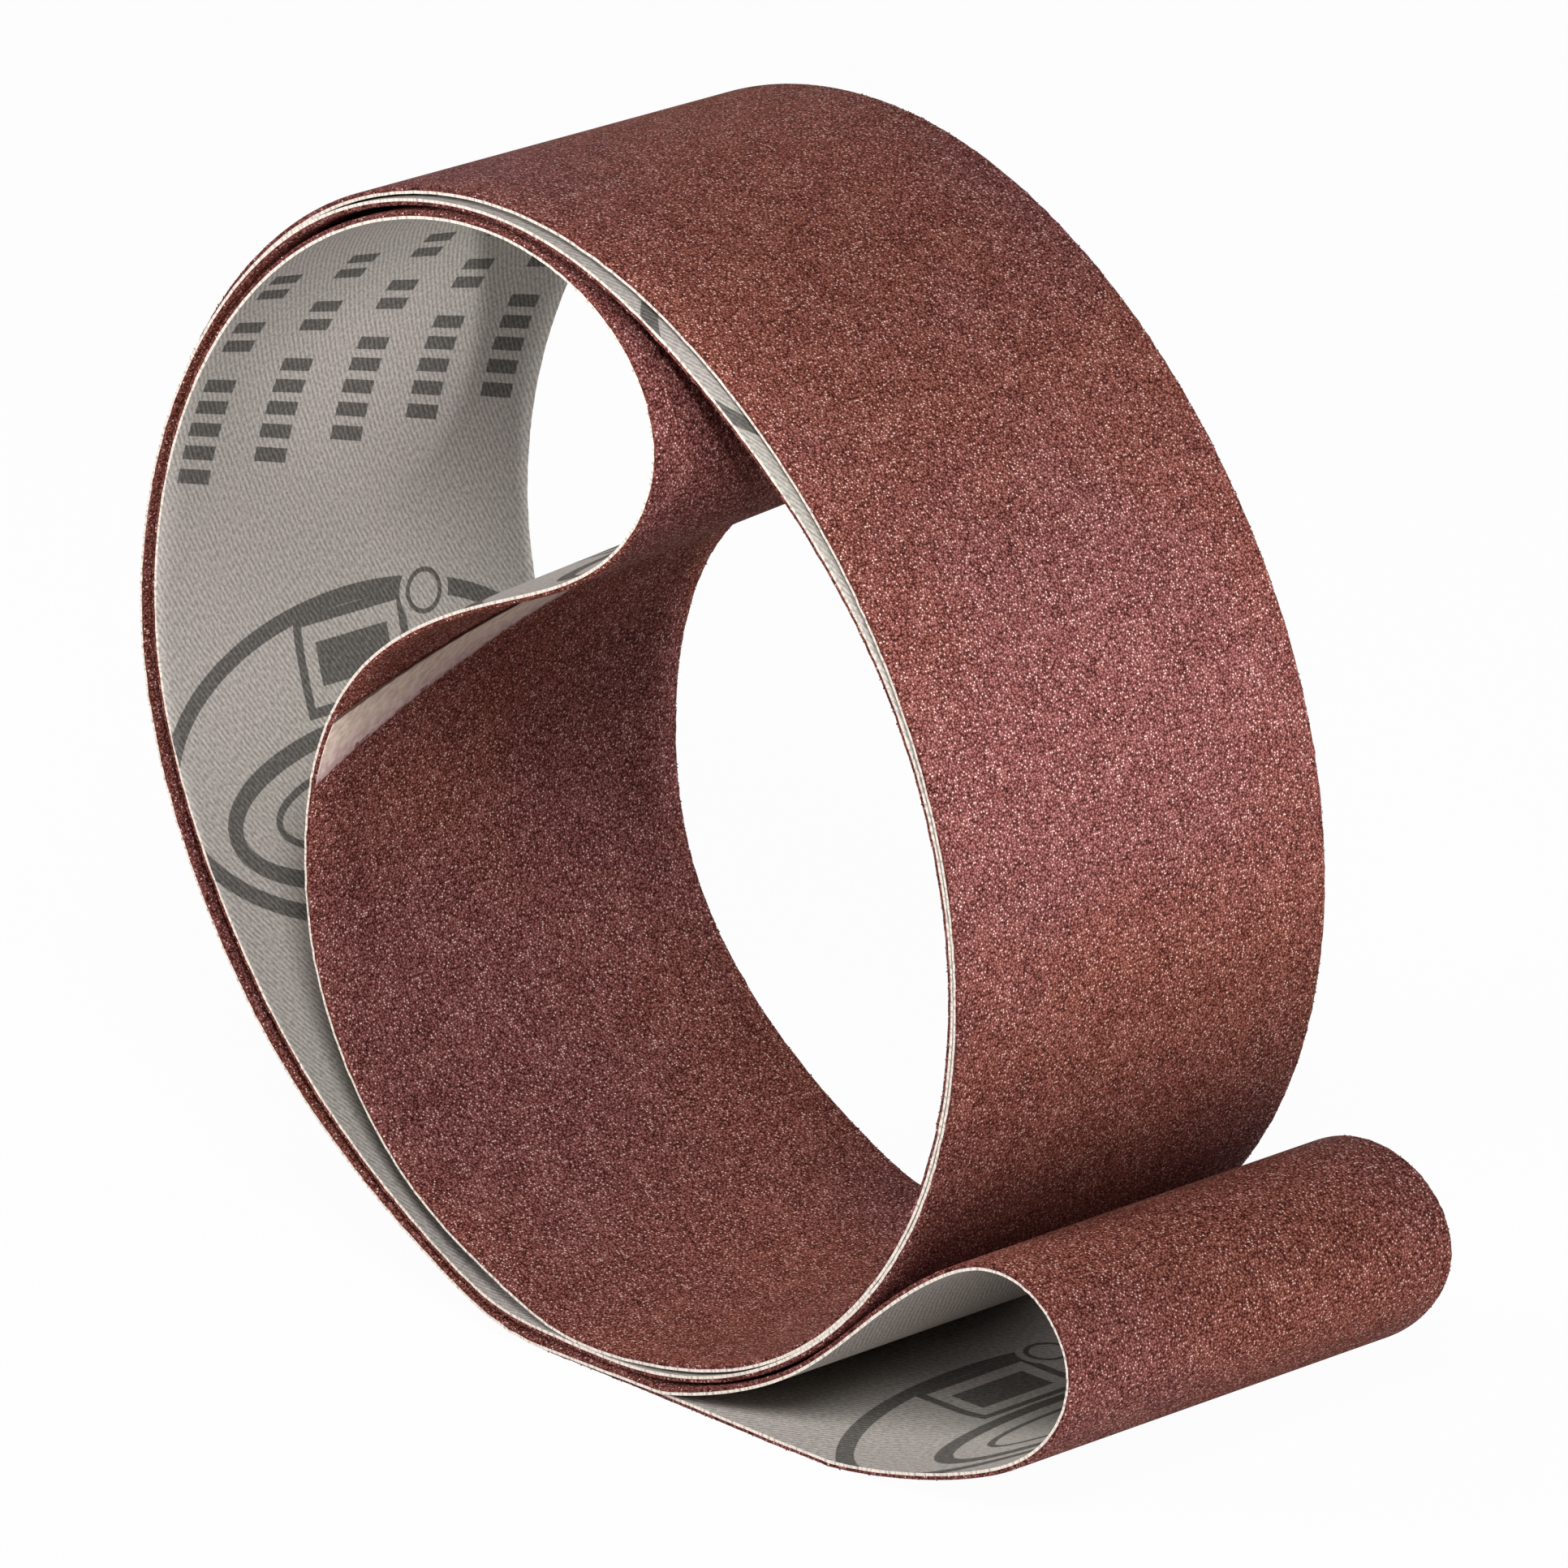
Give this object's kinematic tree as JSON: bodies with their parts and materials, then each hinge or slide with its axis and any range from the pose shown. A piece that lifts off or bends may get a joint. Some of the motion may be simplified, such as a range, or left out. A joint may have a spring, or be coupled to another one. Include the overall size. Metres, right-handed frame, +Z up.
{
  "type": "sanding belt",
  "caption": "Cloth-backed abrasive belt for a belt sander, coiled into a loose roll that stands on its edge turns with a small fold at its foot.",
  "frame": {"origin": "on the floor, under the middle of the roll's length and of the belt's width", "axes": "+Z up, +X along the roll towards the small fold at its foot, +Y across the belt's width, away from the open side that is seen"},
  "size_m": [0.1998, 0.077, 0.1748],
  "materials": {
    "cloth": "matte",
    "grain": "matte",
    "splice": "matte"
  },
  "bodies": {
    "root": {"backing_cloth": "cloth", "grain_coat": "grain", "splice_strip": "splice"}
  },
  "joints": []
}
